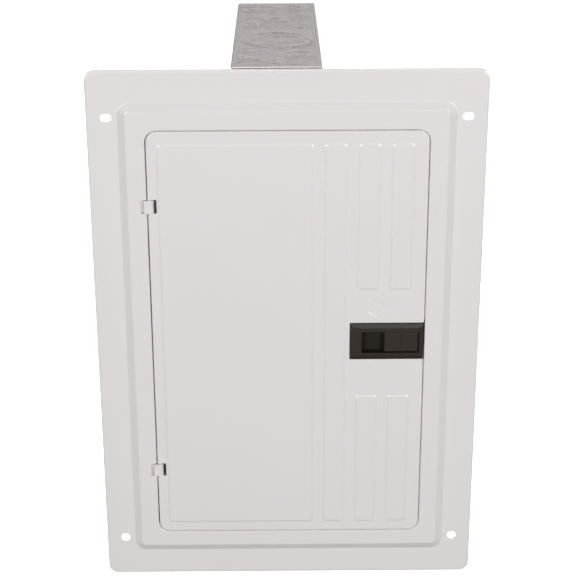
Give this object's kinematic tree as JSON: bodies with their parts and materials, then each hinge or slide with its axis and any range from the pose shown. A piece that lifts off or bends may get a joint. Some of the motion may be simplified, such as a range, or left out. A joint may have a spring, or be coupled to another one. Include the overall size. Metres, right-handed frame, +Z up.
{
  "type": "residential load center",
  "caption": "Flush-mount breaker panel shown with its hinged, latched white cover standing in front of the galvanised enclosure, bus, breakers, neutral and ground bars.",
  "frame": {"origin": "centre of the whole display's footprint, on the surface that the cover and the enclosure stand on", "axes": "+Z up; the cover faces -Y with its hinges at -X; the enclosure stands behind it with its long end-wall side along Y, its back at -X and its open face at +X"},
  "size_m": [0.3938, 0.4724, 0.559],
  "materials": {
    "white_paint": "white baked enamel, satin, very fine orange peel",
    "galvanised_steel": "galvanised sheet with a soft spangle",
    "latch_plastic": "dark brown-black moulded plastic, fine grain",
    "breaker_case": "black moulded thermoset",
    "handle_plastic": "black moulded plastic",
    "insulator": "dark grey moulded insulator",
    "tinned_bus": "tin-plated aluminium",
    "aluminium_lug": "extruded aluminium",
    "plated_screw": "zinc-plated steel",
    "green_screw": "green bonding screw",
    "card": "blank ruled card"
  },
  "bodies": {
    "enclosure_and_cover": {"enclosure_box": "galvanised_steel", "interior_pan": "galvanised_steel", "bus_base": "insulator", "bus_bar_a": "tinned_bus", "bus_bar_b": "tinned_bus", "main_breaker_case": "breaker_case", "line_lug_a": "aluminium_lug", "line_lug_b": "aluminium_lug", "branch_breaker_1": "breaker_case", "branch_breaker_2": "breaker_case", "branch_breaker_3": "breaker_case", "branch_breaker_4": "breaker_case", "branch_breaker_5": "breaker_case", "branch_breaker_6": "breaker_case", "branch_breaker_7": "breaker_case", "branch_breaker_8": "breaker_case", "neutral_bar_left": "aluminium_lug", "neutral_bar_right": "aluminium_lug", "neutral_support_left": "insulator", "neutral_support_right": "insulator", "neutral_strap": "aluminium_lug", "neutral_lug": "aluminium_lug", "bonding_screw": "green_screw", "ground_bar": "aluminium_lug", "pan_screw_1": "plated_screw", "pan_screw_2": "plated_screw", "pan_screw_3": "plated_screw", "pan_screw_4": "plated_screw", "trim_cover": "white_paint", "dead_front": "white_paint", "hinge_strap_upper": "white_paint", "hinge_strap_lower": "white_paint"},
    "door": {"door_panel": "white_paint", "latch_housing": "latch_plastic", "directory_card": "card"},
    "latch": {"latch_slider": "latch_plastic"},
    "main_toggle": {"main_handle": "handle_plastic"},
    "branch_toggle_1": {"branch_handle_1": "handle_plastic"},
    "branch_toggle_2": {"branch_handle_2": "handle_plastic"},
    "branch_toggle_3": {"branch_handle_3": "handle_plastic"},
    "branch_toggle_4": {"branch_handle_4": "handle_plastic"},
    "branch_toggle_5": {"branch_handle_5": "handle_plastic"},
    "branch_toggle_6": {"branch_handle_6": "handle_plastic"},
    "branch_toggle_7": {"branch_handle_7": "handle_plastic"},
    "branch_toggle_8": {"branch_handle_8": "handle_plastic"}
  },
  "joints": [
    {"name": "door_hinge", "type": "hinge", "parent": "enclosure_and_cover", "child": "door", "pos_m": [-0.1372, -0.2332, 0.2795], "axis": [0, 0, -1], "range_deg": [0, 125]},
    {"name": "latch_slide", "type": "slide", "parent": "door", "child": "latch", "axis": [-1, 0, 0], "range_m": [0, 0.008]},
    {"name": "main_toggle_pivot", "type": "hinge", "parent": "enclosure_and_cover", "child": "main_toggle", "pos_m": [0.02295, 0.0552, 0.38425], "axis": [0, -1, 0], "range_deg": [0, 38]},
    {"name": "branch_toggle_1_pivot", "type": "hinge", "parent": "enclosure_and_cover", "child": "branch_toggle_1", "pos_m": [0.02395, 0.0142, 0.28885], "axis": [0, 0, 1], "range_deg": [0, 38]},
    {"name": "branch_toggle_2_pivot", "type": "hinge", "parent": "enclosure_and_cover", "child": "branch_toggle_2", "pos_m": [0.02395, 0.0142, 0.25075], "axis": [0, 0, 1], "range_deg": [0, 38]},
    {"name": "branch_toggle_3_pivot", "type": "hinge", "parent": "enclosure_and_cover", "child": "branch_toggle_3", "pos_m": [0.02395, 0.0142, 0.22535], "axis": [0, 0, 1], "range_deg": [0, 38]},
    {"name": "branch_toggle_4_pivot", "type": "hinge", "parent": "enclosure_and_cover", "child": "branch_toggle_4", "pos_m": [0.02395, 0.0142, 0.19995], "axis": [0, 0, 1], "range_deg": [0, 38]},
    {"name": "branch_toggle_5_pivot", "type": "hinge", "parent": "enclosure_and_cover", "child": "branch_toggle_5", "pos_m": [0.02395, 0.0962, 0.28885], "axis": [0, 0, -1], "range_deg": [0, 38]},
    {"name": "branch_toggle_6_pivot", "type": "hinge", "parent": "enclosure_and_cover", "child": "branch_toggle_6", "pos_m": [0.02395, 0.0962, 0.25075], "axis": [0, 0, -1], "range_deg": [0, 38]},
    {"name": "branch_toggle_7_pivot", "type": "hinge", "parent": "enclosure_and_cover", "child": "branch_toggle_7", "pos_m": [0.02395, 0.0962, 0.22535], "axis": [0, 0, -1], "range_deg": [0, 38]},
    {"name": "branch_toggle_8_pivot", "type": "hinge", "parent": "enclosure_and_cover", "child": "branch_toggle_8", "pos_m": [0.02395, 0.0962, 0.19995], "axis": [0, 0, -1], "range_deg": [0, 38]}
  ]
}
